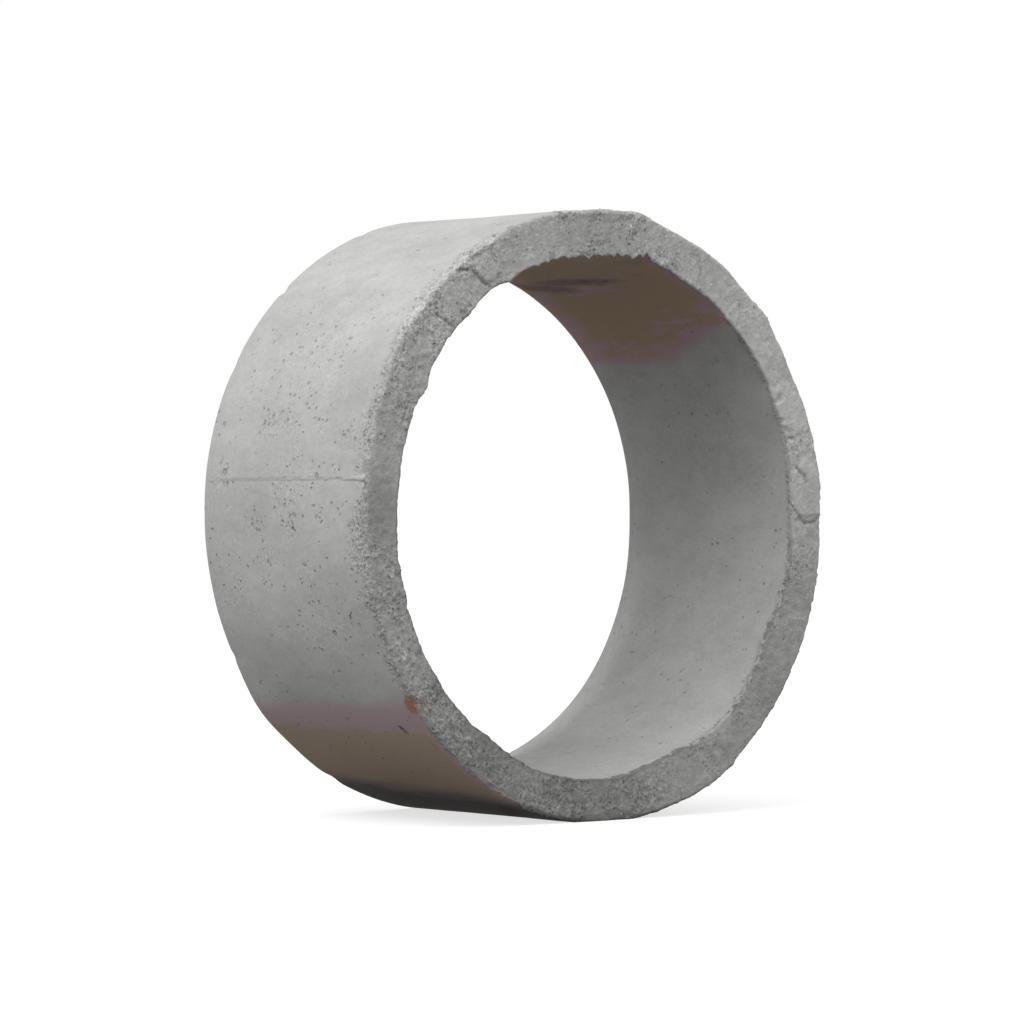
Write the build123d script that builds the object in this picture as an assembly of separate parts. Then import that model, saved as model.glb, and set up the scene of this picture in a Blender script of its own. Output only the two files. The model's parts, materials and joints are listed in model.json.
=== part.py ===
from build123d import *
from math import sqrt
import os

# Concrete culvert ring, cast upright in a two-part steel mould and shown lying on its rim.
# Millimetres. The ring's axis runs along Y, +Z is up, and the origin is on the floor under the
# ring's middle. The rough end, struck off by hand at the top of the mould, faces -Y. The smooth
# end, cast against the pallet, faces +Y. An angle runs from +X up towards +Z.

# Ring
bore_diameter = 1000.0
wall_thickness = 80.0
ring_length = 500.0

# Lead-in that the pallet's centring collar leaves in the bore at the cast end, with the bevel of
# the weld that joins the collar to the pallet at its mouth
lead_in_length = 50.0
lead_in_rise = 10.0
lead_in_blend_radius = 60.0
lead_in_mouth_bevel = 3.0

# Worn arrises
struck_outer_arris_radius = 6.0
struck_inner_arris_radius = 5.0
cast_outer_arris_radius = 4.0

# Fins of grout where the two halves of the outer mould met
mould_seam_angle = 173.4
mould_half_count = 2
mould_fin_width = 7.0
mould_fin_crest_width = 2.0
mould_fin_height = 2.5
mould_fin_end_gap = 12.0

# Groove where the leaves of the collapsible core met
core_seam_angle = 69.0
core_groove_width = 9.0
core_groove_floor_width = 3.0
core_groove_depth = 2.5

# Depth by which a fin or a cutter runs past the wall it belongs to
overlap = 4.0

bore_radius = bore_diameter / 2
outer_radius = bore_radius + wall_thickness
struck_end = -ring_length / 2
cast_end = ring_length / 2


def corner_at(face, point):
    """The corner of a flat outline that lies at the given point."""
    return min(face.vertices(), key=lambda vertex: (vertex.center() - Vector(*point)).length)


def ring_wall():
    """Turned wall: the outline of one side, as radius and place along Y, swung round the axis."""
    struck_inner = (bore_radius, struck_end)
    struck_outer = (outer_radius, struck_end)
    cast_outer = (outer_radius, cast_end)
    lead_in_mouth = (bore_radius + lead_in_rise, cast_end)
    lead_in_start = (bore_radius, cast_end - lead_in_length)
    outline = make_face(
        Polyline(struck_inner, struck_outer, cast_outer, lead_in_mouth, lead_in_start, close=True)
    )
    outline = fillet(corner_at(outline, struck_inner), struck_inner_arris_radius)
    outline = fillet(corner_at(outline, struck_outer), struck_outer_arris_radius)
    outline = fillet(corner_at(outline, cast_outer), cast_outer_arris_radius)
    outline = chamfer(corner_at(outline, lead_in_mouth), lead_in_mouth_bevel)
    outline = fillet(corner_at(outline, lead_in_start), lead_in_blend_radius)
    return revolve(outline, Axis.Y)


def turned(shape, angle):
    """Swing a shape round the ring's axis, from +X up towards +Z."""
    return shape.rotate(Axis.Y, -angle)


def seam_bar(root_radius, root_width, crest_radius, crest_width, length):
    """Bar of tapered section along a seam, centred on the ring's length at angle zero."""
    section = make_face(
        Polyline(
            (root_radius, -root_width / 2),
            (crest_radius, -crest_width / 2),
            (crest_radius, crest_width / 2),
            (root_radius, root_width / 2),
            close=True,
        )
    )
    return extrude(Plane.XZ * section, length / 2, both=True)


def mould_fins():
    """One low fin for each meeting line of the outer mould's halves."""
    fin = seam_bar(
        outer_radius - overlap,
        mould_fin_width,
        outer_radius + mould_fin_height,
        mould_fin_crest_width,
        ring_length - 2 * mould_fin_end_gap,
    )
    spacing = 360 / mould_half_count
    return [turned(fin, mould_seam_angle + half * spacing) for half in range(mould_half_count)]


def core_groove():
    """Cutter for the shallow open groove that runs the whole length of the bore."""
    cutter = seam_bar(
        bore_radius - overlap,
        core_groove_width,
        bore_radius + core_groove_depth,
        core_groove_floor_width,
        ring_length + 2 * overlap,
    )
    return turned(cutter, core_seam_angle)


def ball_radius(chord, height):
    """Radius of the ball whose cap has the given chord and height."""
    return (chord**2 / 4 + height**2) / (2 * height)


def spall(angle, arris_radius, side, chord, depth):
    """Shell-shaped hollow left where a flake broke off an arris of the struck end.

    side is 1 for the outer arris and -1 for the bore's. The ball that cuts the hollow has its
    centre on the line that leaves the arris at 45 degrees, away from the wall.
    """
    radius = ball_radius(chord, depth)
    shift = (radius - depth) / sqrt(2)
    centre = Pos(arris_radius + side * shift, struck_end - shift, 0)
    return turned(centre * Sphere(radius), angle)


def outer_spall(angle, chord, depth):
    """Spall at the outer arris."""
    return spall(angle, outer_radius, 1, chord, depth)


def bore_spall(angle, chord, depth):
    """Spall at the bore's arris."""
    return spall(angle, bore_radius, -1, chord, depth)


def squeezed_lump(angle, chord, height):
    """Concrete that bulged over the mould's top edge: a low cap, cut level with the struck end."""
    radius = ball_radius(chord, height)
    ball = Pos(outer_radius + height - radius, struck_end, 0) * Sphere(radius)
    plug = Cylinder(outer_radius - overlap, 2 * (radius + overlap), rotation=(90, 0, 0))
    shell = ball - Pos(0, struck_end, 0) * plug
    cap = split(shell, Plane.XZ.offset(-struck_end), keep=Keep.BOTTOM)
    return turned(cap, angle)


def culvert_ring():
    """The ring as one casting: wall, fins and lump joined, groove and spalls cut."""
    spalls = [
        outer_spall(angle=111, chord=60, depth=6),
        outer_spall(angle=80, chord=50, depth=7),
        outer_spall(angle=50, chord=70, depth=6),
        outer_spall(angle=29, chord=170, depth=8),
        outer_spall(angle=-3, chord=110, depth=7.5),
        outer_spall(angle=-44, chord=45, depth=7),
        outer_spall(angle=-155, chord=110, depth=7),
        outer_spall(angle=-177, chord=60, depth=6),
        bore_spall(angle=-130, chord=70, depth=8),
        bore_spall(angle=-160, chord=28, depth=6),
        bore_spall(angle=141, chord=50, depth=5),
        bore_spall(angle=51, chord=170, depth=12),
        bore_spall(angle=33, chord=150, depth=8.5),
    ]
    ring = ring_wall() + mould_fins() + squeezed_lump(angle=-58, chord=150, height=12)
    ring = ring - core_groove() - spalls
    return Pos(0, 0, outer_radius) * ring.solid()


os.makedirs("parts", exist_ok=True)
export_step(culvert_ring(), "parts/culvert_ring.step")
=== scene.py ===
import json
import math
from functools import partial

import bmesh
import bpy
from bpy.props import FloatProperty, FloatVectorProperty, IntProperty, PointerProperty
from mathutils import Matrix, Vector, noise


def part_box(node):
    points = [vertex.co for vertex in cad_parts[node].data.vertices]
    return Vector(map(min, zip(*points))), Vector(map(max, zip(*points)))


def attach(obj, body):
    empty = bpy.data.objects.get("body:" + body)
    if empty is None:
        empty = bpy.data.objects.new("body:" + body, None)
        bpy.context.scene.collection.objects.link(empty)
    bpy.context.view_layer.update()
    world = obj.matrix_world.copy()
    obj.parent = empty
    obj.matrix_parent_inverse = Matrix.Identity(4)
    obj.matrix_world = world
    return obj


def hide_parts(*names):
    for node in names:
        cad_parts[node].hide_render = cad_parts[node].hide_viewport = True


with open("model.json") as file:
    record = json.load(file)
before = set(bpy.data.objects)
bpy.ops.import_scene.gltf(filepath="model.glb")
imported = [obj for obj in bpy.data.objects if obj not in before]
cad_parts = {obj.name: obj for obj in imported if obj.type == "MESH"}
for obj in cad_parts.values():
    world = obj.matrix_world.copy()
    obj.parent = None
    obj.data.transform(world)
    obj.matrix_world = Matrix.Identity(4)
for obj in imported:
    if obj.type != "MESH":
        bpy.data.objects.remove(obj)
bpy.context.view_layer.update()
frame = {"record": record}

bl_info = {
    "name": "Concrete culvert ring",
    "version": (1, 0, 0),
    "blender": (4, 5, 0),
    "location": "3D View > Sidebar > Culvert ring",
    "description": "Makes the weathered surface of a cast concrete ring, its bare grains and a plain studio",
    "category": "Object",
}

# Frame
RING_LOW, RING_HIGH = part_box("culvert_ring")
OUTER_RADIUS = (RING_HIGH[0] - RING_LOW[0]) / 2
AXIS_HEIGHT = OUTER_RADIUS
LENGTH = RING_HIGH[1] - RING_LOW[1]
BORE_RADIUS = next(m for m in frame["record"]["mounts"] if m["name"] == "bore")["dims"]["r_mm"] / 1000
WALL = OUTER_RADIUS - BORE_RADIUS
STRUCK_END = RING_LOW[1]
CAST_END = RING_HIGH[1]
MM = 0.001


# Colour


def linear(hex_colour):
    """An sRGB hex colour as linear red, green and blue."""
    channels = [int(hex_colour[place : place + 2], 16) / 255 for place in (1, 3, 5)]
    return tuple(c / 12.92 if c <= 0.04045 else ((c + 0.055) / 1.055) ** 2.4 for c in channels)


def opaque(colour):
    """A colour with full alpha, as a node's socket takes it."""
    return (*colour, 1.0)


def colour_property(name, description, hex_colour):
    return FloatVectorProperty(
        name=name, description=description, default=linear(hex_colour), subtype="COLOR", size=3, min=0, max=1
    )


def length_property(name, description, millimetres):
    return FloatProperty(name=name, description=description, default=millimetres * MM, unit="LENGTH")


WHITE = linear("#FFFFFF")


# Sizes and colours that a user would change


class RingSettings(bpy.types.PropertyGroup):
    columns: IntProperty(name="Columns", description="Steps of the mesh round the ring", default=900, min=90)
    end_step: length_property("End step", "Mesh step across the struck end", 3.3)
    wall_step: length_property("Wall step", "Longest mesh step along the walls", 19)
    outer_arris: length_property("Outer arris", "Worn radius of the outer edge at the struck end", 9)
    bore_arris: length_property("Bore arris", "Worn radius of the bore's edge at the struck end", 3.5)
    cast_arris: length_property("Cast arris", "Radius of the edges at the cast end", 4)
    lead_in_length: length_property("Lead-in length", "Length of the bore's lead-in", 50)
    lead_in_rise: length_property("Lead-in rise", "How much the lead-in widens the bore", 10)
    relief: length_property("Relief", "Height of the struck end's lumps", 2.4)
    skin: colour_property("Skin", "Cement skin of the walls", "#AFAFAE")
    bore_skin: colour_property("Bore skin", "Duller cement skin of the bore", "#A3A3A2")
    # Painted light: paler skin on the lead-in and along the bottom of the bore
    painted_lit_collar: colour_property("Collar skin", "Paler skin of the lead-in, left by the collar", "#C6C6C5")
    # Painted shade: this colour darkens the pits, the holes between the grains and the cracks, where shade
    # falls in them
    pit_shade: colour_property("Pits", "Inside of blown pits, scratches and gaps", "#62625F")
    # The struck end's grey runs between these two; where it runs is partly its own tone and partly painted
    # light and shade
    darkest_end: colour_property("Damp end", "Struck end where it is darkest, near the ground", "#787876")
    palest_end: colour_property("Washed end", "Struck end where it is palest", "#C6C6C4")
    # The underside's earth and clay colours: partly earth stain, partly painted warm light thrown up from the
    # ground
    earth_and_bounce: colour_property("Earth", "Brown earth stain of the underside", "#A99787")
    clay_and_bounce: colour_property("Clay", "Mauve-grey clay stain of the underside", "#B09CA0")
    # The bore's top stains: partly earth and clay, partly painted shade and warm bounce light on the
    # downward-facing top
    bore_earth_and_shade: colour_property("Bore earth", "Brown stain in the top of the bore", "#9F8A76")
    bore_clay_and_shade: colour_property("Bore clay", "Mauve-grey stain in the top of the bore", "#A68C90")
    seam_clay_and_shade: colour_property("Seam clay", "Darker clay along the core's seam", "#826C70")
    rust: colour_property("Rust", "Rust spot", "#9E7258")
    # Also the colour of the painted shadow along the mould's seam
    scratch_and_seam_shadow: colour_property("Scratches", "Scratches and knocks on the outer wall", "#4A443F")
    # Partly damp, partly painted contact shade next to the ground
    wet_and_contact_shade: colour_property("Wet foot", "Underside next to the ground", "#4C4A48")


class GrainSettings(bpy.types.PropertyGroup):
    sand_count: FloatProperty(name="Sand", description="Sand grains in a square metre", default=52000.0)
    sand_size: length_property("Sand size", "Width of a sand grain", 3.0)
    grit_count: FloatProperty(name="Grit", description="Grit grains in a square metre", default=8000.0)
    grit_size: length_property("Grit size", "Width of a grit grain", 6.0)
    sunk: FloatProperty(name="Sunk", description="Depth of a grain's middle over its width", default=0.28)
    seed: IntProperty(name="Seed", description="Seed of the grains' places and turns", default=7)


class StudioSettings(bpy.types.PropertyGroup):
    lens: FloatProperty(name="Lens", description="Focal length on a 36 mm sensor", default=136.73)
    place: FloatVectorProperty(
        name="Camera place",
        description="Where the camera stands",
        default=(-4.8762, -5.8155, 0.5568),
        unit="LENGTH",
    )
    heading: FloatProperty(
        name="Heading",
        description="Turn of the view from +Y towards +X",
        default=math.radians(39.87),
        unit="ROTATION",
    )
    tilt: FloatProperty(
        name="Tilt", description="How far the view looks up", default=math.radians(0.237), unit="ROTATION"
    )
    key_power: FloatProperty(name="Key power", description="Watts of the upper left lamp", default=190.0)
    sky: FloatProperty(name="Sky", description="Strength of the even light from above", default=0.95)
    floor_bounce: colour_property("Floor bounce", "Grey that the floor throws back up", "#747474")


# Shape of the wear, read from the photograph. Angles in degrees from +X up towards +Z.

# How the walls are out of round: angle of the long axis, rise in millimetres
OVAL_OUTSIDE = (112.0, 6.0)
OVAL_BORE = (45.0, 4.5)
# The bore's oval loses this share of its height by the cast end, so that past 1 it lies the other way
OVAL_TURN = 1.4
# Swells of the two edges at the struck end: angle, half width in degrees, millimetres away from the axis
OUTER_EDGE_SWELLS = (
    (147, 13, 7), (172, 10, -4), (95, 4, -4), (87, 6, 1), (80.5, 3.5, 7.5), (58, 6, 4), (43, 4, 9),
    (29, 5, -3), (9, 6, 4), (-1, 4, -3), (-12, 55, 5.5), (-37, 5, 1), (-58, 5.5, 7), (-66, 4, 4),
    (-155, 6, -3),
)
BORE_EDGE_SWELLS = (
    (77.5, 2.5, 10), (64, 5, -4), (48, 8, -3), (36, 6, -1.5), (25, 5, -4), (3, 9, -9), (-28, 7, -12),
    (-51, 10, 10), (-72, 8, -8), (97, 4, -5), (89.5, 3, -4), (117.6, 2.2, -3.5), (124, 4, 6),
    (139, 5, 4.5), (151.5, 2.2, -8), (176, 8, -2.5), (-162, 5, -4.5), (-160.4, 1.2, 5), (-143, 9, -1),
    (-129.5, 2.5, 3.5), (-126, 8, -6.5),
)
# Swells at the cast end in the same way: of the outer wall, and of the lead-in's mouth
CAST_OUTER_SWELLS = ((-140.0, 7.0, 6.0), (99.0, 14.0, 5.0))
CAST_MOUTH_SWELLS = ((-45.0, 16.0, 3.2), (-1.0, 9.0, -3.5), (32.0, 14.0, 1.5))
# Drips of grout that hang from the bore's arris: angle, half width in degrees, length in millimetres.
GROUT_DRIPS = (
    (109.3, 0.7, 3), (106.1, 0.5, 4), (103.6, 0.8, 3.5), (100.4, 0.6, 5), (98.2, 0.45, 3), (94.4, 1.1, 9),
    (91.7, 0.5, 5), (89.9, 0.8, 3), (87, 0.45, 6.5), (84.6, 0.9, 4.5), (81.4, 1, 7), (78.6, 0.5, 6),
    (75.4, 0.7, 4),
)
# Chips off the outer arris at the cast end: angle, half width in degrees, depth in millimetres.
CAST_CHIPS = (
    (131.6, 1.1, 4.5), (109.6, 0.8, 3), (150.4, 2.2, 2), (84, 1.6, 2.5), (52, 2.6, 4), (14, 1.2, 3),
    (-38, 3.4, 5), (-118, 1.8, 3.5), (-152, 1, 2.5),
)
# How bare the struck end is: angle, half width in degrees, share of the full roughness.
ROUGH_STRETCHES = (
    (-95, 26, 0.3), (-134, 24, 0.8), (-168, 9, 0.5), (181, 7, -0.15), (89, 14, 0.66), (69, 6, 0.25),
    (122, 6, 0.35), (138, 13, 0.6), (158, 7, 0.45), (12, 6, 0.2), (-12, 6, 0.2),
)
# How pale the struck end is, over or under its middle grey: angle, half width in degrees, change.
# Partly the end's own uneven tone, partly painted light and shade: paler at the upper right, darker towards
# the bottom near the ground
PALE_STRETCHES = (
    (28, 34, 0.27), (14, 10, 0.1), (-18, 15, -0.16), (-60, 14, 0.03), (122, 24, 0.08), (-108, 48, -0.42),
    (180, 12, -0.27), (-172.5, 4, 0.12), (-39, 12, -0.14), (90, 9, -0.12),
)
# How wide the crumbled band beside the outer arris is: angle, half width in degrees, millimetres more.
CRUMBLED_STRETCHES = (
    (137, 13, 24), (121, 7, 14), (164, 5, 44), (176, 6, 18), (-172, 9, 48), (-150, 12, 14),
    (-122, 16, -36), (110.5, 7, -32),
)
# How far the bore's edge is torn: angle, half width in degrees, millimetres more. Where the sum is under 0
# the cement skin runs out over the arris instead.
BORE_TORN_STRETCHES = (
    (-26, 9, 10), (-31, 3, -14), (-50, 12, -20), (-67, 4, 26), (-81, 6, 34), (-100, 8, 14), (0, 10, 6),
    (88, 12, 5), (102, 6, 6), (112.5, 5, -6),
)
# Dabs of mortar on the struck end: angle, place across the wall from 0 at the bore to 1 outside,
# half width in degrees, half width across the wall.
MORTAR_DABS = ((5.5, 0.5, 6.3, 0.58), (23, 0.5, 6, 0.52), (122, 0.44, 2.4, 0.33))
# Clusters of blown pits on the outer wall: angle, millimetres from the struck end, reach in millimetres,
# strength.
PIT_CLUSTERS = (
    (162.4, 315, 34, 0.9), (163.2, 252, 24, 0.9), (163.2, 158, 20, 1), (165.6, 62, 34, 0.9),
    (168, 229, 18, 1), (171.8, 95, 20, 0.9), (173, 248, 34, 1), (173.4, 168, 30, 1), (173, 445, 34, 0.8),
    (176.4, 238, 38, 1.1), (-178.4, 232, 30, 1), (-179.3, 129, 20, 0.8), (-179, 350, 26, 0.7),
    (-172.6, 306, 32, 1), (-168.4, 190, 26, 0.8), (-168, 318, 20, 1), (-166, 430, 60, 0.5),
    (-160, 160, 90, 0.4), (150, 250, 150, 0.3), (-14, 300, 60, 0.8), (40, 200, 70, 0.7),
    (12, 120, 40, 0.9), (-40, 240, 90, 0.5),
)
# Seams of the outer mould, and of the core
MOULD_SEAMS = (173.4, -6.6)
CORE_SEAM = 69.0
# Runs of dark clay beside the core's seam, partly painted shade in the bore's top: angle and millimetres from
# the struck end at both ends.
SEAM_CLAY = (((69.8, 400.0), (67.6, 180.0)), ((68.6, 485.0), (65.0, 330.0)))
# Cracks on the struck end, each a run of points: angle, place across the wall.
END_CRACKS = (
    ((4.3, -0.06), (2.8, 0.02), (1.6, 0.14), (0.1, 0.28), (-1.5, 0.46), (-1.2, 0.65), (-0.6, 0.84)),
    ((11.0, 0.24), (9.8, 0.34), (8.4, 0.47), (7.3, 0.51)),
    ((127.8, 0.84), (126.2, 0.66), (125.1, 0.53), (124.4, 0.34), (124.0, 0.18), (123.3, 0.1)),
    ((17.8, 0.1), (17.3, 0.24)),
    ((137.5, 0.5), (137.0, 0.3), (136.6, 0.1)),
)
# Scratches and knocks on the walls: angle and millimetres from the struck end at both ends, half width in
# millimetres, radius of the wall.
DARK_MARKS = (
    ((-162.4, 77.0), (-160.6, 86.0), 2.0, OUTER_RADIUS),
    ((-137.3, 91.0), (-135.7, 82.0), 5.4, OUTER_RADIUS),
    ((-177.9, 221.0), (-177.0, 209.0), 2.2, OUTER_RADIUS),
    ((69.4, 331.0), (69.2, 322.0), 2.4, BORE_RADIUS),
    ((68.6, 276.0), (68.4, 262.0), 2.8, BORE_RADIUS),
    ((67.8, 218.0), (67.6, 208.0), 2.4, BORE_RADIUS),
    ((64.7, 180.0), (64.5, 176.0), 2.2, BORE_RADIUS),
)
# How far from an end the swells and chips there have faded to about a third, in millimetres
OUTER_EDGE_REACH = 95
BORE_EDGE_REACH = 60
CAST_OUTER_REACH = 130
CAST_MOUTH_REACH = 60
CAST_CHIP_REACH = 9
DRIP_REACH = 8
END_RELIEF_REACH = 12
# Widths of the crumbled bands on the wall and in the bore, in millimetres
CRUMBLED_WIDTH = 15
LEAST_CRUMBLED_WIDTH = 5
BORE_CRUMBLED_WIDTH = 13
# Heights and depths, in millimetres
WAVE_HEIGHT = 0.9
GNAW_DEPTH = 2.2
DAB_HEIGHT = 2.0
DAB_STEP = 1.0
CRACK_DEPTH = 3.0
GROOVE_DEPTH = 1.2
# Millimetres over which the struck end's colour gives way to the skin's
EDGE_BLEND = 14
# Degrees either side of a crack's first point within which all of it lies
CRACK_SPAN = 14

# What each point of the ring's mesh says of its surface, from 0 to 1. The struck share alone runs on to
# -1 and 2, so that the material can tear the edge where it passes a half.
SHARES = ("struck", "bare", "crumbled", "dab", "pale", "pitted", "inside", "gap")


def turn_between(angle, other):
    """Signed difference of two angles in degrees, from -180 to 180."""
    return (angle - other + 180) % 360 - 180


def hump(away, reach):
    """Smooth hump of height 1 round 0, of about a third of that at the reach."""
    return math.exp(-((away / reach) ** 2))


def swell(angle, centre, half_width):
    """Hump round an angle, cut off where it is next to nothing."""
    away = turn_between(angle, centre)
    return hump(away, half_width) if abs(away / half_width) < 4 else 0.0


def smooth_step(low, high, value):
    share = min(max((value - low) / (high - low), 0.0), 1.0)
    return share * share * (3 - 2 * share)


def swells_at(angle, swells):
    """Sum of the humps (centre, half width, height) at an angle."""
    return sum(height * swell(angle, centre, half_width) for centre, half_width, height in swells)


def oval(angle, shape):
    """Offset of an out-of-round wall from its circle, in millimetres."""
    long_axis, rise = shape
    return rise * math.cos(2 * math.radians(angle - long_axis))


def uneven(place, waves, dimension=0.8, gap=2.1, octaves=3):
    """Layered noise from about -1 to 1, with about that many waves in a metre."""
    return noise.fractal(place * waves, dimension, gap, octaves)


def outward_at(angle):
    """Unit vector that points away from the axis at an angle."""
    turn = math.radians(angle)
    return Vector((math.cos(turn), 0, math.sin(turn)))


def spaced(start, end, step):
    """Places from start up to, not including, end, at even steps no longer than step."""
    count = max(1, math.ceil(abs(end - start) / step))
    return [start + (end - start) * number / count for number in range(count)]


def graded(start, end, fine, coarse, growth):
    """Places from start up to, not including, end, whose steps grow from fine to coarse."""
    places = [0.0]
    step = fine
    span = abs(end - start)
    while places[-1] + step < span:
        places.append(places[-1] + step)
        step = min(step * growth, coarse)
    if span - places[-1] < step * 0.6:
        places.pop()
    direction = 1 if end > start else -1
    return [start + direction * place for place in places]


def arc(centre, radius, start, end, steps):
    """Points on an arc of the wall's outline, not including its last one; angles in degrees."""
    turns = [math.radians(start + (end - start) * number / steps) for number in range(steps)]
    return [(centre[0] + radius * math.cos(turn), centre[1] + radius * math.sin(turn)) for turn in turns]


def wall_outline(ring):
    """Outline of one side of the ring as (radius, y, zone), from the bore's arris at the struck end."""
    outer, bore, cast = ring.outer_arris, ring.bore_arris, ring.cast_arris
    mouth = BORE_RADIUS + ring.lead_in_rise
    points = []

    def add(zone, places):
        points.extend((radius, y, zone) for radius, y in places)

    across_end = spaced(BORE_RADIUS + bore, OUTER_RADIUS - outer, ring.end_step)
    add("end", [(radius, STRUCK_END) for radius in across_end])
    add("end", arc((OUTER_RADIUS - outer, STRUCK_END + outer), outer, -90, 0, 5))
    near = graded(STRUCK_END + outer, CAST_END - cast, ring.end_step, ring.wall_step, 1.10)
    add("wall", [(OUTER_RADIUS, y) for y in near])
    add("wall", arc((OUTER_RADIUS - cast, CAST_END - cast), cast, 0, 90, 3))
    add("cast", [(radius, CAST_END) for radius in spaced(OUTER_RADIUS - cast, mouth + cast, 16 * MM)])
    add("cast", arc((mouth + cast, CAST_END - cast), cast, 90, 180, 3))
    run = ring.lead_in_length - cast
    lead_in = spaced(0.0, 1.0, 0.25)
    add("bore", [(mouth - ring.lead_in_rise * share, CAST_END - cast - run * share) for share in lead_in])
    far = graded(STRUCK_END + bore, CAST_END - ring.lead_in_length, ring.end_step, ring.wall_step, 1.18)
    add("bore", [(BORE_RADIUS, y) for y in reversed(far)])
    add("end", arc((BORE_RADIUS + bore, STRUCK_END + bore), bore, 180, 270, 4)[1:])
    return points


def column_angles(ring):
    """Angles of the mesh's columns: even steps, with closer ones over the core's seam."""
    step = 360 / ring.columns
    spread = [CORE_SEAM + turn for turn in (-0.7, -0.45, -0.25, -0.1, 0.1, 0.25, 0.45, 0.7)]
    even = [number * step for number in range(ring.columns)]
    kept = [angle for angle in even if min(abs(turn_between(angle, s)) for s in spread) > 0.12]
    return sorted(kept + spread)


def wall_rise(angle, y, outside):
    """How far the outer wall (outside 1) or the bore (0) stands off its circle, in millimetres."""
    from_end = (y - STRUCK_END) / MM
    to_cast_end = LENGTH / MM - from_end
    inside = 1 - outside
    place = outward_at(angle) * (OUTER_RADIUS if outside > 0.5 else BORE_RADIUS) + Vector((0, y, 0))
    bore_oval = oval(angle, OVAL_BORE) * (1 - OVAL_TURN * from_end * MM / LENGTH)
    rise = outside * oval(angle, OVAL_OUTSIDE) + inside * bore_oval
    rise += outside * hump(from_end, OUTER_EDGE_REACH) * swells_at(angle, OUTER_EDGE_SWELLS)
    rise += inside * hump(from_end, BORE_EDGE_REACH) * swells_at(angle, BORE_EDGE_SWELLS)
    rise += outside * hump(to_cast_end, CAST_OUTER_REACH) * swells_at(angle, CAST_OUTER_SWELLS)
    rise += inside * hump(to_cast_end, CAST_MOUTH_REACH) * swells_at(angle, CAST_MOUTH_SWELLS)
    rise -= outside * hump(to_cast_end, CAST_CHIP_REACH) * swells_at(angle, CAST_CHIPS)
    return rise + WAVE_HEIGHT * uneven(place, 5, 0.9, 2.0)


def roughness_share(angle, place):
    """How bare and coarse the struck end is, from 0 to 1: broad stretches, broken up into patches."""
    share = 0.24 + swells_at(angle, ROUGH_STRETCHES)
    patches = smooth_step(-0.35, 0.4, uneven(place, 16))
    return min(share * (0.35 + 0.85 * patches), 1.0)


def dab_share(angle, across, place):
    """How far a point of the struck end lies inside a dab of mortar: over 0 is inside, with a ragged edge."""
    best = -1.0
    ragged = 0.34 * uneven(place, 45)
    for centre, middle, half_width, half_depth in MORTAR_DABS:
        away = math.hypot(turn_between(angle, centre) / half_width, (across - middle) / half_depth)
        best = max(best, 1 - away + ragged)
    return best


def crumbled_share(band, from_end, place):
    """How far a point of the outer wall lies in the crumbled band beside the arris, from 0 to 1."""
    width = max(CRUMBLED_WIDTH + band, LEAST_CRUMBLED_WIDTH)
    return 1 - smooth_step(0.1, 1.2, from_end / width + 0.5 * uneven(place, 30))


def crack_share(angle, across, place):
    """How near a point of the struck end is to a crack's bottom: 1 on it, 0 clear of it."""
    # The point itself, moved about by up to 3 mm round the ring and across the wall
    at = place * 90
    point = Vector((noise.noise(at), noise.noise(at + Vector((5, 0, 0))))) * 3.0
    best = 0.0
    for run in END_CRACKS:
        if abs(turn_between(angle, run[0][0])) > CRACK_SPAN:
            continue
        # The crack in the same millimetres
        flat = []
        for corner, part in run:
            round_ring = math.radians(turn_between(corner, angle)) * (BORE_RADIUS + part * WALL) / MM
            flat.append(Vector((round_ring, (part - across) * WALL / MM)))
        for start, end in zip(flat, flat[1:]):
            along = end - start
            share = min(max((point - start).dot(along) / along.length_squared, 0.0), 1.0)
            best = max(best, 1 - smooth_step(1.6, 4.4, (start + along * share - point).length))
    return best


def pitted_share(angle, from_end):
    """How thickly the outer wall is pitted, from 0 to 1."""
    best = 0.0
    for centre, middle, reach, strength in PIT_CLUSTERS:
        round_ring = math.radians(turn_between(angle, centre)) * OUTER_RADIUS / MM
        away = math.hypot(round_ring, from_end - middle) / reach
        best = max(best, strength * (1 - smooth_step(0.3, 1.5, away)))
    return best


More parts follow.
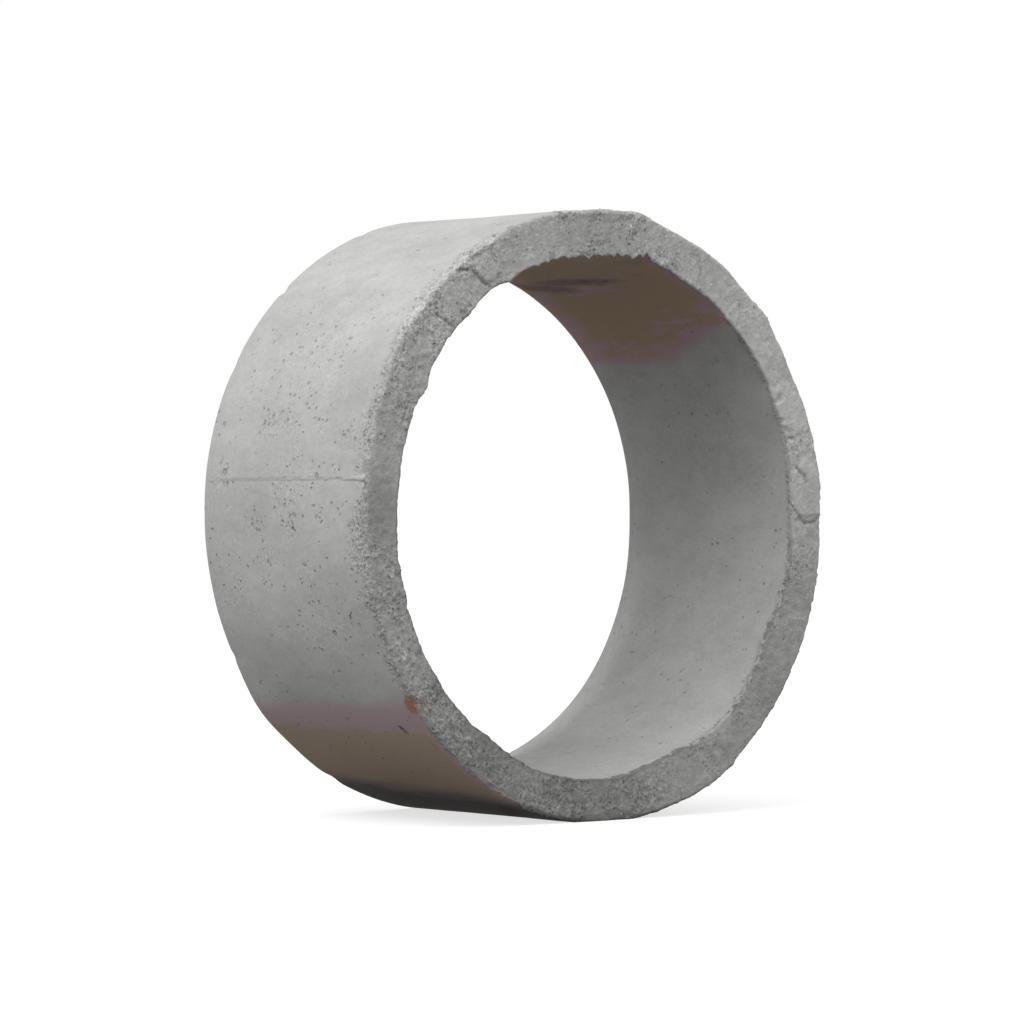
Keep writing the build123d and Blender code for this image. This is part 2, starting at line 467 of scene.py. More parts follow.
def weathered(radius, y, zone, angle, ring):
    """Moves a point of the plain ring to where casting and wear left it. Gives its place and shares."""
    outward = outward_at(angle)
    place = outward * radius + Vector((0, y, 0))
    from_end = (y - STRUCK_END) / MM
    across = (radius - BORE_RADIUS) / WALL
    past_bore_arris = across * WALL / MM - from_end
    by_bore = zone == "bore" or (zone == "end" and across < 0.5)
    rough = roughness_share(angle, place)
    rise = wall_rise(angle, y, smooth_step(0.3, 0.7, across))

    # Grout drips on the bore's arris
    if zone in ("end", "bore") and across < 0.2:
        at_arris = hump(from_end, DRIP_REACH) * (1 - smooth_step(0.04, 0.18, across))
        rise -= at_arris * swells_at(angle, GROUT_DRIPS)

    # Crumbled band: the grains beside the arris have gone, to an uneven depth
    crumbled = 0.0
    band = swells_at(angle, CRUMBLED_STRETCHES)
    if zone == "wall" or (zone == "end" and across > 0.8):
        crumbled = crumbled_share(band, from_end, place) * smooth_step(0.84, 1.0, across)
        rise -= crumbled**2 * (0.4 + 4.6 * abs(uneven(place, 75, 0.7, 2.2)))
    gnaw = uneven(place, 55, 0.75, 2.2, 4)
    if zone == "end":
        rise += GNAW_DEPTH * gnaw * (smooth_step(0.86, 1.0, across) - (1 - smooth_step(0.0, 0.1, across)))
    if zone == "bore":
        crumbled = 1 - smooth_step(0.5, 1.0, from_end / BORE_CRUMBLED_WIDTH + 0.5 * gnaw)
        rise += crumbled * 2.0 * abs(gnaw)

    # How much of the colour is the struck end's
    struck = 2.0 if zone == "end" else -1.0
    drift = noise.noise(place * 22)
    if zone == "wall" or (zone == "end" and from_end > 0.4 and across > 0.5):
        struck = 0.5 + (7.5 - from_end + 0.16 * band + 6 * gnaw + 10 * drift) / EDGE_BLEND
    if by_bore:
        reach = 6 + swells_at(angle, BORE_TORN_STRETCHES)
        ragged = (4 + 0.2 * abs(reach)) * gnaw + 1.2 * abs(reach) * drift
        struck = 0.5 + (past_bore_arris + 0.5 * reach + ragged) / EDGE_BLEND
    struck = min(max(struck, -1.0), 2.0)
    on_end = min(max(struck, 0.0), 1.0)

    # Lumps and hollows of the struck end, dabs of mortar, and the low step round each dab
    forward = 0.0
    dab = -1.0
    crack = 0.0
    if zone == "end":
        lumps = 0.9 * uneven(place, 22) + 0.8 * uneven(place, 95, 0.6, 2.2)
        dab = dab_share(angle, across, place)
        on_dab = smooth_step(0.0, 0.16, dab)
        crack = crack_share(angle, across, place)
        forward = ring.relief / MM * (0.4 + 1.0 * rough) * lumps * (1 - 0.35 * on_dab) + DAB_HEIGHT * on_dab
        forward -= DAB_STEP * hump(dab + 0.05, 0.05) + CRACK_DEPTH * crack
        forward *= hump(max(from_end, 0), END_RELIEF_REACH)

    # Groove of the core's seam, filled in places
    if zone == "bore":
        open_share = 0.25 + 0.75 * smooth_step(-0.1, 0.3, noise.noise(place * 16))
        rise += GROOVE_DEPTH * open_share * hump(turn_between(angle, CORE_SEAM), 0.5)

    placed = outward * (radius + rise * MM) + Vector((0, y - forward * MM, AXIS_HEIGHT))
    placed.z = max(placed.z, 0.0)
    inside = 1.0 if by_bore else 0.0
    # Painted light and shade as well as the end's own tone: paler at the upper right, darker towards the
    # bottom
    pale = 0.58 + swells_at(angle, PALE_STRETCHES) + 0.1 * uneven(place, 9)
    # Painted shade: the broken edge of the bore is made darker than the end beside it, over the light that
    # its arris catches
    pale -= 0.38 * inside * (1 - smooth_step(0, 7, past_bore_arris))
    shares = {
        "struck": struck,
        "bare": max(on_end * rough, 0.7 * crumbled**2) * (1 - 0.45 * smooth_step(0.0, 0.16, dab)),
        "crumbled": crumbled,
        "dab": smooth_step(0.0, 0.2, dab),
        "pale": pale,
        "pitted": pitted_share(angle, from_end) if zone == "wall" else 0.0,
        "inside": inside,
        "gap": crack,
    }
    return placed, shares


def mesh_with_shares(name, places, faces, kept):
    """Mesh whose points carry named surface shares as attributes."""
    mesh = bpy.data.meshes.new(name)
    mesh.from_pydata(places, [], faces)
    for share, values in kept.items():
        mesh.attributes.new(share, "FLOAT", "POINT").data.foreach_set("value", values)
    mesh.shade_smooth()
    mesh.update()
    return mesh


def ring_mesh(ring):
    """Closed mesh of the ring, with its surface shares kept as attributes."""
    outline = wall_outline(ring)
    angles = column_angles(ring)
    rows, columns = len(outline), len(angles)
    places = []
    kept = {}
    for angle in angles:
        for radius, y, zone in outline:
            place, shares = weathered(radius, y, zone, angle, ring)
            places.append(place)
            for name, share in shares.items():
                kept.setdefault(name, []).append(share)
    faces = []
    for column in range(columns):
        here, after = column * rows, (column + 1) % columns * rows
        for row in range(rows):
            above = (row + 1) % rows
            faces.append((here + row, here + above, after + above, after + row))
    return mesh_with_shares("weathered_ring", places, faces, kept)


def fin_height(angle, y):
    """Height of a mould fin in millimetres: tallest by the struck end, rubbed off in places elsewhere."""
    from_end = (y - STRUCK_END) / MM
    ragged = uneven(Vector((math.radians(angle) * 3, y * 28, 0.3)), 1, octaves=4)
    tall = 1.0 * (1 - smooth_step(60, 95, from_end))
    return tall + 0.6 + 1.4 * ragged


def fin_mesh():
    """Fins of grout along the outer mould's seams: low ridges, steeper on the side of the greater angle."""
    # Section of a fin: millimetres round the ring towards the smaller angle, and share of its height, with
    # None for its foot, which is buried in the wall
    section = ((-4.4, -0.5), (-2.8, 0.1), (-0.8, 1.0), (1.0, 0.95), (9.0, -0.5), (9.0, None), (-4.4, None))
    buried = 3.0
    places = []
    faces = []
    steps = spaced(STRUCK_END + 9 * MM, CAST_END - 5 * MM, 2.4 * MM)
    for seam in MOULD_SEAMS:
        first = len(places)
        for y in steps:
            height = fin_height(seam, y)
            wander = 1.1 * noise.noise(Vector((seam, y * 22, 0)))
            for side, share in section:
                angle = seam - math.degrees((side + wander) * MM / OUTER_RADIUS)
                rise = -buried if share is None else share * max(height, 0.0) - 0.5
                surface = OUTER_RADIUS + (wall_rise(angle, y, 1.0) + rise) * MM
                places.append(outward_at(angle) * surface + Vector((0, y, AXIS_HEIGHT)))
        width = len(section)
        for row in range(len(steps) - 1):
            for number in range(width):
                low = first + row * width + number
                high = first + row * width + (number + 1) % width
                faces.append((low, high, high + width, low + width))
        last = first + (len(steps) - 1) * width
        faces.append(tuple(range(first, first + width)))
        faces.append(tuple(range(last, last + width)))
    kept = {name: [0.0] * len(places) for name in SHARES}
    mesh = mesh_with_shares("mould_fins", places, faces, kept)
    turned = bmesh.new()
    turned.from_mesh(mesh)
    bmesh.ops.recalc_face_normals(turned, faces=turned.faces)
    turned.to_mesh(mesh)
    turned.free()
    return mesh


# Materials


def add_node(tree, kind, *values, **named):
    """Adds a node, and sets or links its open inputs in their order, or by name with _ for a space. A
    kind is the node's type, or that with its settings. Gives the node's first open output."""
    type_name, settings = (kind, {}) if isinstance(kind, str) else kind
    made = tree.nodes.new(type_name)
    for name, value in settings.items():
        setattr(made, name, value)
    given = list(zip([socket for socket in made.inputs if socket.enabled], values))
    given += [(made.inputs[name.replace("_", " ")], value) for name, value in named.items()]
    for socket, value in given:
        if isinstance(value, bpy.types.NodeSocket):
            tree.links.new(value, socket)
        else:
            socket.default_value = value
    return next((socket for socket in made.outputs if socket.enabled), None)


# Kinds of node that come up often: first the sums on numbers
PLUS, LESS, TIMES, TIMES_PLUS, LARGER = (
    ("ShaderNodeMath", {"operation": operation})
    for operation in ("ADD", "SUBTRACT", "MULTIPLY", "MULTIPLY_ADD", "MAXIMUM")
)
# An even run from one value at low to another at high, and a smooth share from 0 at low to 1 at high
RANGE = "ShaderNodeMapRange"
STEP = ("ShaderNodeMapRange", {"interpolation_type": "SMOOTHSTEP"})
# One colour laid over another by a share, and one that tints another
MIX = ("ShaderNodeMix", {"data_type": "RGBA"})
TINT = ("ShaderNodeMix", {"data_type": "RGBA", "blend_type": "MULTIPLY"})
NOISE = "ShaderNodeTexNoise"
SPLIT = "ShaderNodeSeparateXYZ"


def per_metre(size_mm):
    """Scale of a noise or cell pattern whose blotches are about that wide."""
    return 1000 / size_mm


def mark_share(add, place, radius, start, end, half_width, thick):
    """Share of a long mark on a wall: 1 inside, 0 well outside. Its ends are given as angle and
    millimetres from the struck end, its half width and its reach into the wall in millimetres."""
    first, last = on_wall(*start, radius), on_wall(*end, radius)
    facing = outward_at((start[0] + end[0]) / 2)
    along = (last - first).normalized()
    side = facing.cross(along).normalized()
    turn = Matrix((along, side, facing)).transposed().to_euler()
    stretch = ((last - first).length / 2 + half_width * MM, half_width * MM, thick * MM)
    own_place = ("ShaderNodeMapping", {"vector_type": "TEXTURE"})
    local = add(own_place, place, (first + last) / 2, turn, stretch)
    return add(STEP, add(("ShaderNodeVectorMath", {"operation": "LENGTH"}), local), 1.25, 0.6)


def on_wall(angle, from_end, radius):
    """Point of a wall at an angle and millimetres from the struck end."""
    return outward_at(angle) * radius + Vector((0, STRUCK_END + from_end * MM, AXIS_HEIGHT))


def strongest(add, shares):
    """Largest of several shares at each point."""
    largest = shares[0]
    for share in shares[1:]:
        largest = add(LARGER, largest, share)
    return largest


def new_material(name):
    """New material with nothing in its node tree yet, and the function that adds a node to it."""
    material = bpy.data.materials.new(name)
    material.use_nodes = True
    material.node_tree.nodes.clear()
    return material, partial(add_node, material.node_tree)


def shares_of(add, names):
    """The named shares that the mesh carries, as sockets."""
    carried = {name: add(("ShaderNodeAttribute", {"attribute_name": name})) for name in names}
    return {name: socket.node.outputs["Fac"] for name, socket in carried.items()}


def wandered(add, place, size_mm, reach_mm):
    """A place moved about by up to half the reach, so that an edge looked up there comes out ragged."""
    wander = add(NOISE, place, per_metre(size_mm), 3.0).node.outputs["Color"]
    evened = add(("ShaderNodeVectorMath", {"operation": "SUBTRACT"}), wander, (0.5, 0.5, 0.5))
    reach = (reach_mm * MM, reach_mm * MM, reach_mm * MM)
    return add(("ShaderNodeVectorMath", {"operation": "MULTIPLY_ADD"}), evened, reach, place)


def speck_share(add, place, cell_mm, crowd):
    """Share of round specks, at most one in each cell that wide: 1 inside, 0 outside. The crowd is the
    share of the cells that have one."""
    cells = add("ShaderNodeTexVoronoi", place, per_metre(cell_mm)).node.outputs
    lots = add(SPLIT, cells["Color"]).node.outputs
    present = add(STEP, add(LESS, crowd, lots["X"]), 0.0, 0.06)
    radius = add(TIMES_PLUS, lots["Y"], 0.35, 0.2)
    middle = add(TIMES, radius, 0.55)
    return add(TIMES, present, add(STEP, cells["Distance"], radius, middle))


def grained(add, grain, strength):
    """Light and dark of single grains, as a factor round 1 that swings further the greater the strength."""
    return add(TIMES_PLUS, add(LESS, grain, 0.5), strength, 1.0)


def skin_mottle(add, place):
    """Light and dark of the cement skin: broad clouds, blotches a few centimetres wide and a faint
    speckle, all drawn out a little along the ring."""
    drawn = add("ShaderNodeMapping", place, Scale=(1.0, 0.6, 1.0))
    clouds = add(NOISE, drawn, per_metre(150), 4.0, 0.55)
    blotches = add(NOISE, drawn, per_metre(30), 4.0, 0.65)
    speckle = add(NOISE, drawn, per_metre(7), 3.0, 0.7)
    mottle = add(TIMES_PLUS, blotches, 0.8, clouds)
    return add(TIMES_PLUS, speckle, 0.6, mottle), blotches


def skin_colour(add, ring, share, parts, mottle, grain):
    """Cement skin of the walls: duller in the bore, with painted light along its bottom and most on the
    lead-in there, and grained where it is pitted or has crumbled."""
    lead_in = CAST_END - ring.lead_in_length
    # Painted light: the share of paler skin along the bore's bottom, most on the lead-in
    painted_lit_share = add(RANGE, parts["Y"], lead_in - 50 * MM, lead_in + 16 * MM, 0.14, 0.88)
    painted_lit_share = add(TIMES, painted_lit_share, add(STEP, parts["Z"], 0.68, 0.16))
    painted_lit_share = add(TIMES, painted_lit_share, share["inside"])
    skin = add(MIX, share["inside"], opaque(ring.skin), opaque(ring.bore_skin))
    skin = add(MIX, painted_lit_share, skin, opaque(ring.painted_lit_collar))
    worn = strongest(add, (add(TIMES, share["pitted"], 0.6), share["crumbled"]))
    light = grained(add, grain, add(TIMES_PLUS, worn, 1.3, 0.26))
    light = add(TIMES, light, add(RANGE, share["crumbled"], 0.0, 1.0, 1.0, 0.89))
    light = add(TIMES, light, add(RANGE, mottle, 0.8, 1.6, 0.84, 1.16))
    # Darker on the top of the ring towards the struck end
    top_front = add(TIMES, add(STEP, parts["Z"], 1.0, 1.1), add(STEP, parts["Y"], 0.05, -0.1))
    light = add(TIMES, light, add(RANGE, top_front, 0.0, 1.0, 1.0, 0.945))
    return add(TINT, 1.0, skin, light)


def blown_pits(add, share, place):
    """Share of the pits blown by trapped air, small ones and a few large: thick in the clusters and
    beside the struck end, rare elsewhere."""
    ragged = wandered(add, place, 6, 7)
    crowd = add(TIMES_PLUS, add(NOISE, place, per_metre(70), 2.0, 0.6), 0.36, -0.12)
    crowd = add(TIMES_PLUS, share["pitted"], 0.34, crowd)
    crowd = add(TIMES_PLUS, share["crumbled"], 0.55, crowd)
    small = speck_share(add, ragged, 8, crowd)
    large = speck_share(add, ragged, 19, add(TIMES, crowd, 0.4))
    pits = strongest(add, (small, large))
    return add(TIMES, pits, add(LESS, 1.0, share["struck"]))


def end_grey(add, ring, share):
    """Grey of the struck end, from its darkest to its palest."""
    return add(MIX, share["pale"], opaque(ring.darkest_end), opaque(ring.palest_end))


def end_colour(add, ring, share, place, mottle, grain):
    """Struck end: light sand and grit with holes between them where it is bare, on a grey that is paler in
    some stretches and darker in others, partly painted light and shade, with dabs of mortar and cracks; the
    holes and the cracks carry painted shade. Gives the colour and the holes' share."""
    bareness = add(STEP, share["bare"], 0.0, 0.75)
    holes = speck_share(add, wandered(add, place, 5, 4), 8, add(TIMES, bareness, 0.38))
    light = add(RANGE, mottle, 0.85, 1.5, 0.91, 1.09)
    light = add(TIMES, light, add(RANGE, add(NOISE, place, per_metre(17), 3.0, 0.6), 0.3, 0.7, 0.88, 1.1))
    light = add(TIMES, light, grained(add, grain, add(TIMES_PLUS, bareness, 1.7, 0.22)))
    # Painted shade in the holes between the grains
    light = add(TIMES, light, add(RANGE, holes, 0.0, 1.0, 1.0, 0.72))
    colour = add(TINT, 1.0, end_grey(add, ring, share), light)
    colour = add(MIX, add(TIMES, share["dab"], 0.25), colour, opaque(ring.palest_end))
    # Painted shade along the bottoms of the cracks
    crack = add(TIMES, share["gap"], add(STEP, add(NOISE, place, per_metre(8), 3.0, 0.6), 0.36, 0.52))
    return add(MIX, add(TIMES, crack, 0.62), colour, opaque(ring.pit_shade)), holes


def along_ring(add, parts, at_struck_end, at_cast_end):
    """Even run along the ring's length between two heights in millimetres."""
    return add(RANGE, parts["Y"], STRUCK_END, CAST_END, at_struck_end * MM, at_cast_end * MM)


# Where each stain, with the painted light and shade in it, fades out and is full, as heights above the ground
# in metres
EARTH_BOUNCE_TOP = (0.186, 0.160)
EARTH_BOUNCE_FOOT = (0.036, 0.052)
GROUND_TOP = (0.240, 0.210)
WET_SHADE_TOP = (0.062, 0.018)
WET_SHADE_END_TOP = (0.022, 0.004)
ROOF_SHADE_FOOT = (0.875, 0.905)
LOW_CLAY_SHADE_TOP = (0.945, 0.925)


def stained_and_shaded(add, ring, share, place, parts, colour):
    """Lays on what the ground left, with painted light and shade in it: on the underside bands of mauve clay,
    brown earth, clay again and the wet foot, their tint partly painted warm light thrown up from the ground
    and the foot partly painted contact shade, and brown earth with clay patches in the top of the bore,
    partly painted shade there."""
    on_skin = add(LESS, 1.0, share["struck"])
    outside = add(LESS, on_skin, share["inside"])
    drawn = add("ShaderNodeMapping", place, Scale=(1.0, 0.25, 1.0))
    drift = add(TIMES_PLUS, add(NOISE, drawn, per_metre(120), 2.0, 0.6), 60 * MM, -30 * MM)
    drift = add(TIMES_PLUS, add(NOISE, drawn, per_metre(20), 3.0, 0.6), 20 * MM, drift)
    level = add(PLUS, parts["Z"], add(LESS, drift, 10 * MM))
    patch = add(NOISE, drawn, per_metre(60), 3.0, 0.6)
    by_arris = add(STEP, parts["Y"], STRUCK_END + 30 * MM, STRUCK_END + 14 * MM)

    # The wet foot, partly painted contact shade, climbs towards the cast end, and the ground's upper edge
    # runs down towards it
    wet_shade_level = add(LESS, level, along_ring(add, parts, 0, 37))
    edge_level = add(PLUS, level, along_ring(add, parts, -20, 14))
    earthy = add(TIMES, add(STEP, level, *EARTH_BOUNCE_TOP), add(STEP, wet_shade_level, *EARTH_BOUNCE_FOOT))
    earthy = add(LESS, earthy, add(TIMES, by_arris, 0.7))
    ground = add(MIX, add(STEP, earthy, 0.1, 0.9), opaque(ring.clay_and_bounce), opaque(ring.earth_and_bounce))
    colour = add(MIX, add(TIMES, add(STEP, edge_level, *GROUND_TOP), outside), colour, ground)
    colour = add(MIX, add(TIMES, add(STEP, wet_shade_level, *WET_SHADE_TOP), outside), colour, opaque(ring.wet_and_contact_shade))
    # The wet foot's darkening, partly damp and partly painted shade by the ground, creeps a little up the
    # struck end
    creeping = add(TIMES, add(STEP, parts["Z"], *WET_SHADE_END_TOP), share["struck"])
    colour = add(MIX, add(TIMES, creeping, 0.45), colour, opaque(ring.wet_and_contact_shade))

    # In the bore the stain, partly painted shade and warm bounce light on the downward-facing top, has its
    # lower edge climb towards the struck end
    climb = add(RANGE, parts["Y"], STRUCK_END + 20 * MM, STRUCK_END + 230 * MM, 65 * MM, 0.0)
    height = add(LESS, level, climb)
    by_lead_in = add(STEP, parts["Y"], CAST_END - 90 * MM, CAST_END - 55 * MM)
    by_lead_in = add(TIMES, by_lead_in, add(STEP, patch, 0.40, 0.50))
    low_band = add(TIMES, add(STEP, height, *LOW_CLAY_SHADE_TOP), add(STEP, patch, 0.58, 0.48))
    clayey = strongest(add, (by_arris, by_lead_in, low_band, add(STEP, patch, 0.60, 0.64)))
    roof = add(MIX, clayey, opaque(ring.bore_earth_and_shade), opaque(ring.bore_clay_and_shade))
    ragged = wandered(add, place, 22, 26)
    seam_clay_and_shade = [mark_share(add, ragged, BORE_RADIUS, start, end, 17, 60) for start, end in SEAM_CLAY]
    roof = add(MIX, strongest(add, seam_clay_and_shade), roof, opaque(ring.seam_clay_and_shade))
    # Painted shade and bounce light, together with the stain, in the top of the bore
    in_roof = add(TIMES, add(STEP, height, *ROOF_SHADE_FOOT), share["inside"])
    return add(MIX, add(TIMES, in_roof, on_skin), colour, roof)


def marked(add, ring, place, parts, colour):
    """Lays on the rust spot at the arris, the painted shadow along the mould's seam, and the scratches and
    knocks of the outer wall and the core's seam."""
    ragged = wandered(add, place, 9, 14)
    rust = mark_share(add, wandered(add, place, 9, 26), OUTER_RADIUS, (-143.7, 10), (-142.1, 18), 16, 24)
    colour = add(MIX, add(TIMES, rust, 0.8), colour, opaque(ring.rust))
    # Painted shadow under the mould's fin, strongest by the struck end
    seam_shadow = mark_share(add, wandered(add, place, 9, 5), OUTER_RADIUS, (173.2, -6), (173.2, 506), 4.2, 14)
    depth = add(RANGE, parts["Y"], STRUCK_END + 80 * MM, STRUCK_END + 130 * MM, 0.46, 0.2)
    colour = add(MIX, add(TIMES, seam_shadow, depth), colour, opaque(ring.scratch_and_seam_shadow))
    dark = [mark_share(add, ragged, radius, start, end, half, 14) for start, end, half, radius in DARK_MARKS]
    return add(MIX, add(TIMES, strongest(add, dark), 0.8), colour, opaque(ring.scratch_and_seam_shadow))


def rough_surface(add, colour, roughness, ior, specular, **more):
    """Finishes a material: a dull mineral surface of that colour."""
    shader = add(
        "ShaderNodeBsdfPrincipled", colour, Roughness=roughness, IOR=ior, Specular_IOR_Level=specular, **more
    )
    add("ShaderNodeOutputMaterial", shader)


def mould_cast_concrete(ring):
    """Ordinary cement concrete: smooth grey cement skin where it met the steel mould and core, softly mottled
    and blown with small pits in clusters, and bare sand and grit between holes where the end was struck off,
    with painted shade in the pits, holes and cracks. Brown and mauve stains where it lay in damp earth,
    partly painted warm light thrown up from the ground and painted shade under the ring and in the top of the
    bore."""
    material, add = new_material("mould_cast_concrete")
    place = add("ShaderNodeTexCoord").node.outputs["Object"]
    parts = add(SPLIT, place).node.outputs
    share = shares_of(add, SHARES)
    torn = add(TIMES_PLUS, add(NOISE, place, per_metre(13), 4.0, 0.65), 2.4, -1.2)
    share["struck"] = add(STEP, add(PLUS, share["struck"], torn), 0.36, 0.64)
    mottle, blotches = skin_mottle(add, place)
    grain = add(NOISE, place, per_metre(5.5), 2.0, 0.6)
    pits = blown_pits(add, share, place)
    struck, holes = end_colour(add, ring, share, place, mottle, grain)
    colour = add(MIX, share["struck"], skin_colour(add, ring, share, parts, mottle, grain), struck)
    colour = stained_and_shaded(add, ring, share, place, parts, colour)
    colour = marked(add, ring, place, parts, colour)
    # Painted shade in the blown pits
    colour = add(MIX, add(TIMES, pits, 0.34), colour, opaque(ring.pit_shade))

    # Relief that is finer than the mesh
    gritty = add(TIMES, grain, add(TIMES_PLUS, share["bare"], 1.0, 0.6))
    end_relief = add(TIMES_PLUS, holes, -0.8, gritty)
    skin_relief = add(TIMES_PLUS, pits, -1.1, add(TIMES, blotches, 0.35))
    rubble = add(TIMES, grain, add(TIMES, share["crumbled"], 1.5))
    skin_relief = add(PLUS, skin_relief, rubble)
    relief = add(("ShaderNodeMix", {"data_type": "FLOAT"}), share["struck"], skin_relief, end_relief)
    bump = add("ShaderNodeBump", Height=relief, Strength=0.9, Distance=2.2 * MM)
    rough_surface(add, colour, roughness=0.92, ior=1.5, specular=0.25, Normal=bump)
    return material


def bare_sand_and_grit(ring):
    """Quartz sand and crushed stone grit, dusted with cement: each grain a shade of its own round the
    grey of the concrete that it sits in."""
    material, add = new_material("bare_sand_and_grit")
    share = shares_of(add, ("shade", "struck", "pale"))
    grey = add(MIX, share["struck"], opaque(ring.skin), end_grey(add, ring, share))
    colour = add(TINT, 1.0, grey, add(RANGE, share["shade"], 0.0, 1.0, 0.74, 1.22))
    rough_surface(add, colour, roughness=0.85, ior=1.54, specular=0.3)
    return material


def seen_share(add):
    """1 for the camera's rays and for those in reflections and through glass, 0 for the light's own way."""
    path = add("ShaderNodeLightPath").node.outputs
    return strongest(add, [path[name] for name in ("Is Camera Ray", "Is Glossy Ray", "Is Transmission Ray")])


def matt_studio_floor(studio):
    """Smooth white studio floor: white to the eye and in reflections, a duller grey in the light that it
    throws back up, so that the ring's underside stays as dark as over bare ground."""
    material, add = new_material("matt_studio_floor")
    dull = add("ShaderNodeBsdfDiffuse", opaque(studio.floor_bounce))
    white = add("ShaderNodeBsdfDiffuse", opaque(linear("#A8A8A8")))
    lit = add("ShaderNodeEmission", opaque(WHITE), 0.7)
    bright = add("ShaderNodeAddShader", white, lit)
    add("ShaderNodeOutputMaterial", add("ShaderNodeMixShader", seen_share(add), dull, bright))
    return material


# Objects


def new_object(name, data):
    """New object in the scene."""
    made = bpy.data.objects.new(name, data)
    bpy.context.scene.collection.objects.link(made)
    return made


def grain_tree():
    """Strews half-sunk grains over the bare concrete, each with its own size, turn and shade."""
    tree = bpy.data.node_groups.new("strewn_grains", "GeometryNodeTree")
    add = partial(add_node, tree)
    face = tree.interface
    face.new_socket("Geometry", in_out="INPUT", socket_type="NodeSocketGeometry")
    for name, kind in (
        ("Grains in a square metre", "NodeSocketFloat"),
        ("Grain width", "NodeSocketFloat"),
        ("Sunk", "NodeSocketFloat"),
        ("Seed", "NodeSocketInt"),
        ("Material", "NodeSocketMaterial"),
    ):
        face.new_socket(name, in_out="INPUT", socket_type=kind)
    face.new_socket("Geometry", in_out="OUTPUT", socket_type="NodeSocketGeometry")
    given = add("NodeGroupInput").node.outputs
    width, seed = given["Grain width"], given["Seed"]
    bare = add(("GeometryNodeInputNamedAttribute", {"data_type": "FLOAT"}), "bare")
    density = add(TIMES, bare, given["Grains in a square metre"])
    strewn = add(
        ("GeometryNodeDistributePointsOnFaces", {"distribute_method": "RANDOM"}),
        Mesh=given["Geometry"],
        Density=density,
        Seed=seed,
    ).node.outputs
    inward = add(TIMES, add(TIMES, width, given["Sunk"]), -1.0)
    down = add(("ShaderNodeVectorMath", {"operation": "SCALE"}), strewn["Normal"], inward)
    sunk = add("GeometryNodeSetPosition", strewn["Points"], Offset=down)
    stone = add("GeometryNodeMeshIcoSphere", add(TIMES, width, 0.5), 1)
    any_three = ("FunctionNodeRandomValue", {"data_type": "FLOAT_VECTOR"})
    size = add(any_three, (0.5, 0.5, 0.45), (1.35, 1.2, 1.0), Seed=seed)
    turned = add(any_three, Max=(math.tau, math.tau, math.tau), Seed=seed)
    placed = add("GeometryNodeInstanceOnPoints", sunk, Instance=stone, Rotation=turned, Scale=size)
    shade = add(("FunctionNodeRandomValue", {"data_type": "FLOAT"}), Seed=seed)
    on_instances = {"data_type": "FLOAT", "domain": "INSTANCE"}
    shaded = add(("GeometryNodeStoreNamedAttribute", on_instances), placed, Name="shade", Value=shade)
    real = add("GeometryNodeRealizeInstances", shaded)
    # No grain reaches below the ground; the other two limits lie far outside the ring
    floor = (-9.0, -9.0, 0.0)
    raised = add(("ShaderNodeVectorMath", {"operation": "MAXIMUM"}), add("GeometryNodeInputPosition"), floor)
    above = add("GeometryNodeSetPosition", real, Position=raised)
    add("NodeGroupOutput", add("GeometryNodeSetMaterial", above, Material=given["Material"]))
    return tree


def strewn_grains(name, ring_object, tree, values):
    """Runs the grain tree over the ring's surface and gives the grains as a plain mesh object."""
    carrier = new_object(name + "_carrier", ring_object.data.copy())
    modifier = carrier.modifiers.new("grains", "NODES")
    modifier.node_group = tree
    for item in tree.interface.items_tree:
        if item.in_out == "INPUT" and item.name in values:
            modifier[item.identifier] = values[item.name]
    evaluated = carrier.evaluated_get(bpy.context.evaluated_depsgraph_get())
    mesh = bpy.data.meshes.new_from_object(evaluated)
    mesh.name = name
    bpy.data.objects.remove(carrier)
    return new_object(name, mesh)


class MakeRing(bpy.types.Operator):
    """Make the weathered concrete ring that stands for the cast solid, and the fins along its mould seams"""

    bl_idname = "culvert.make_ring"
    bl_label = "Make ring"

    def execute(self, context):
        settings = context.scene.culvert_ring
        material = mould_cast_concrete(settings)
        for name, mesh in (("weathered_ring", ring_mesh(settings)), ("mould_fins", fin_mesh())):
            piece = new_object(name, mesh)
            mesh.materials.append(material)
            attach(piece, "root")
        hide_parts("culvert_ring")
        return {"FINISHED"}


class MakeGrains(bpy.types.Operator):
    """Strew bare sand and grit over the struck end and its crumbled edge"""

    bl_idname = "culvert.make_grains"
    bl_label = "Make grains"

    def execute(self, context):
        grains = context.scene.culvert_grains
        ring = bpy.data.objects["weathered_ring"]
        tree = grain_tree()
        material = bare_sand_and_grit(context.scene.culvert_ring)
        kinds = (
            ("end_sand", grains.sand_count, grains.sand_size, grains.seed),
            ("end_grit", grains.grit_count, grains.grit_size, grains.seed + 1),
        )
        for name, count, width, seed in kinds:
            values = {
                "Grains in a square metre": count,
                "Grain width": width,
                "Sunk": grains.sunk,
                "Seed": seed,
                "Material": material,
            }
            piece = strewn_grains(name, ring, tree, values)
            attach(piece, "root")
        return {"FINISHED"}


# Studio, in metres
FLOOR_REACH = 60.0
LAMP_WIDTH = 4.0
LAMP_PLACE = (-4.0, -1.5, 5.0)


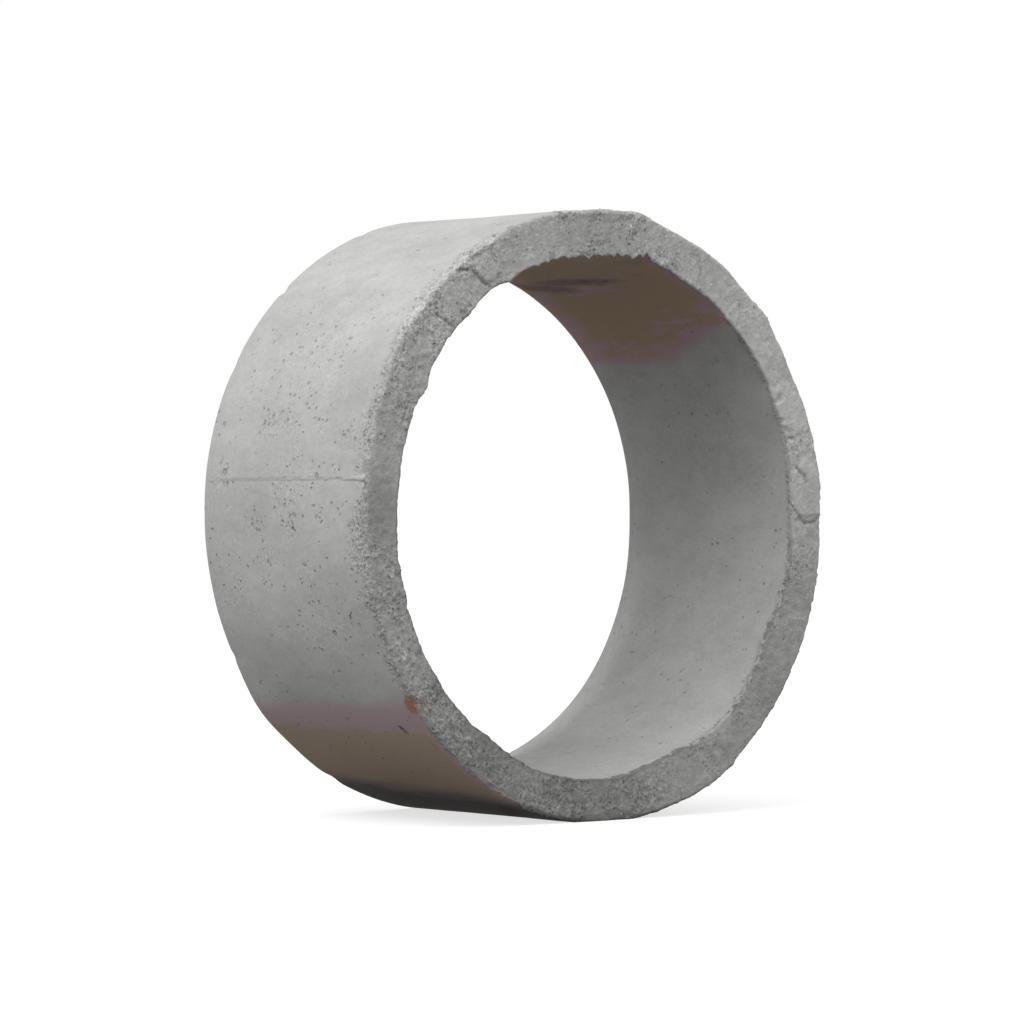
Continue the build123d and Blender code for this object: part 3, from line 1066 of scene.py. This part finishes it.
class MakeStudio(bpy.types.Operator):
    """Make the floor, the light and the camera"""

    bl_idname = "culvert.make_studio"
    bl_label = "Make studio"

    def execute(self, context):
        scene = context.scene
        studio = scene.culvert_studio
        mesh = bpy.data.meshes.new("studio_floor")
        far = FLOOR_REACH
        corners = [(-far, -far, 0), (far, -far, 0), (far, far, 0), (-far, far, 0)]
        mesh.from_pydata(corners, [], [(0, 1, 2, 3)])
        mesh.materials.append(matt_studio_floor(studio))
        floor = new_object("studio_floor", mesh)

        world = bpy.data.worlds.new("even_sky")
        scene.world = world
        world.use_nodes = True
        world.node_tree.nodes.clear()
        add = partial(add_node, world.node_tree)
        sky = add("ShaderNodeBackground", opaque(WHITE), studio.sky)
        backdrop = add("ShaderNodeBackground", opaque(WHITE), 1.0)
        add("ShaderNodeOutputWorld", add("ShaderNodeMixShader", seen_share(add), sky, backdrop))

        middle = Vector((0, 0, AXIS_HEIGHT))
        lamp = bpy.data.lights.new("upper_left_key", "AREA")
        lamp.shape = "DISK"
        lamp.size = LAMP_WIDTH
        lamp.energy = studio.key_power
        key = new_object("upper_left_key", lamp)
        key.location = LAMP_PLACE
        key.rotation_euler = (middle - key.location).to_track_quat("-Z", "Y").to_euler()

        lens = bpy.data.cameras.new("long_lens")
        lens.sensor_width = 36.0
        lens.lens = studio.lens
        lens.clip_end = 200.0
        camera = new_object("long_lens", lens)
        camera.location = studio.place
        camera.rotation_euler = (math.pi / 2 + studio.tilt, 0, -studio.heading)
        scene.camera = camera
        scene.view_settings.view_transform = "Standard"
        return {"FINISHED"}


class CulvertPanel(bpy.types.Panel):
    bl_idname = "VIEW3D_PT_culvert_ring"
    bl_label = "Culvert ring"
    bl_space_type = "VIEW_3D"
    bl_region_type = "UI"
    bl_category = "Culvert ring"

    def draw(self, context):
        for settings, operator in (
            ("culvert_ring", MakeRing),
            ("culvert_grains", MakeGrains),
            ("culvert_studio", MakeStudio),
        ):
            group = getattr(context.scene, settings)
            for name in group.__annotations__:
                self.layout.prop(group, name)
            self.layout.operator(operator.bl_idname)


CLASSES = (RingSettings, GrainSettings, StudioSettings, MakeRing, MakeGrains, MakeStudio, CulvertPanel)


def register():
    for kind in CLASSES:
        bpy.utils.register_class(kind)
    bpy.types.Scene.culvert_ring = PointerProperty(type=RingSettings)
    bpy.types.Scene.culvert_grains = PointerProperty(type=GrainSettings)
    bpy.types.Scene.culvert_studio = PointerProperty(type=StudioSettings)


def unregister():
    del bpy.types.Scene.culvert_studio
    del bpy.types.Scene.culvert_grains
    del bpy.types.Scene.culvert_ring
    for kind in reversed(CLASSES):
        bpy.utils.unregister_class(kind)


def main():
    register()
    bpy.ops.culvert.make_studio()
    bpy.ops.culvert.make_ring()
    bpy.ops.culvert.make_grains()


if __name__ == "__main__":
    main()
